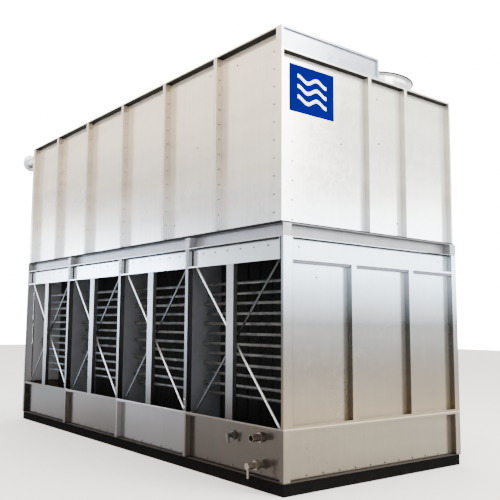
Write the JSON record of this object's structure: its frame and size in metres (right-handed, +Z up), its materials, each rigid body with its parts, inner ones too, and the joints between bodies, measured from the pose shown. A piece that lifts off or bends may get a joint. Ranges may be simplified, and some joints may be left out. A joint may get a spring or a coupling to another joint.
{
  "type": "closed-circuit cooling tower",
  "caption": "Skid-mounted galvanised cooling tower with a water basin, a braced air inlet in front of a tube coil, a panelled casing and roof fans behind a raised cover.",
  "frame": {"origin": "under the middle of the skid, on the ground", "axes": "+X along the long side towards the end with the basin's water stubs, -Y out of the air-inlet front, +Z up"},
  "size_m": [6.625, 2.8203, 4.4225],
  "materials": {
    "galvanised_sheet": "galvanised sheet, semi-gloss",
    "galvanised_steel": "galvanised sections, satin",
    "skid_black": "black paint, satin",
    "coil_steel": "hot-dip galvanised tube, dull",
    "eliminator_plastic": "black PVC",
    "fan_aluminium": "cast aluminium"
  },
  "bodies": {
    "root": {"basin_back": "galvanised_sheet", "basin_end_left": "galvanised_sheet", "basin_end_right": "galvanised_sheet", "basin_floor": "galvanised_sheet", "basin_front": "galvanised_sheet", "coil_row_front": "coil_steel", "coil_row_rear": "coil_steel", "corner_post_left": "galvanised_steel", "corner_post_right": "galvanised_steel", "drain_stub": "galvanised_steel", "drift_eliminator": "eliminator_plastic", "fan_cylinder_1": "galvanised_sheet", "fan_cylinder_2": "galvanised_sheet", "fan_cylinder_3": "galvanised_sheet", "fan_cylinder_4": "galvanised_sheet", "fan_deck": "galvanised_sheet", "fan_motor_frame": "galvanised_steel", "fan_rotor_1": "fan_aluminium", "fan_rotor_2": "fan_aluminium", "fan_rotor_3": "fan_aluminium", "fan_rotor_4": "fan_aluminium", "inlet_brace_1": "galvanised_steel", "inlet_brace_2": "galvanised_steel", "inlet_brace_3": "galvanised_steel", "inlet_brace_4": "galvanised_steel", "inlet_column_1": "galvanised_steel", "inlet_column_2": "galvanised_steel", "inlet_column_3": "galvanised_steel", "inlet_fascia_1": "galvanised_sheet", "inlet_fascia_2": "galvanised_sheet", "inlet_fascia_3": "galvanised_sheet", "inlet_fascia_4": "galvanised_sheet", "inlet_mullion_1": "galvanised_steel", "inlet_mullion_2": "galvanised_steel", "inlet_mullion_3": "galvanised_steel", "inlet_mullion_4": "galvanised_steel", "ledge_back": "galvanised_steel", "ledge_end_left": "galvanised_steel", "ledge_end_right": "galvanised_steel", "ledge_front": "galvanised_steel", "lower_back": "galvanised_sheet", "lower_end_left": "galvanised_sheet", "lower_end_right": "galvanised_sheet", "make_up_stub": "galvanised_steel", "overflow_stub": "galvanised_steel", "raised_cover": "galvanised_sheet", "skid_frame": "skid_black", "spray_header_stub": "galvanised_steel", "tube_plate_1": "galvanised_sheet", "tube_plate_2": "galvanised_sheet", "tube_plate_3": "galvanised_sheet", "upper_back": "galvanised_sheet", "upper_end_left": "galvanised_sheet", "upper_end_right": "galvanised_sheet", "upper_front_1": "galvanised_sheet", "upper_front_2": "galvanised_sheet", "upper_front_3": "galvanised_sheet", "upper_front_4": "galvanised_sheet", "upper_front_5": "galvanised_sheet", "upper_front_6": "galvanised_sheet"}
  },
  "joints": []
}
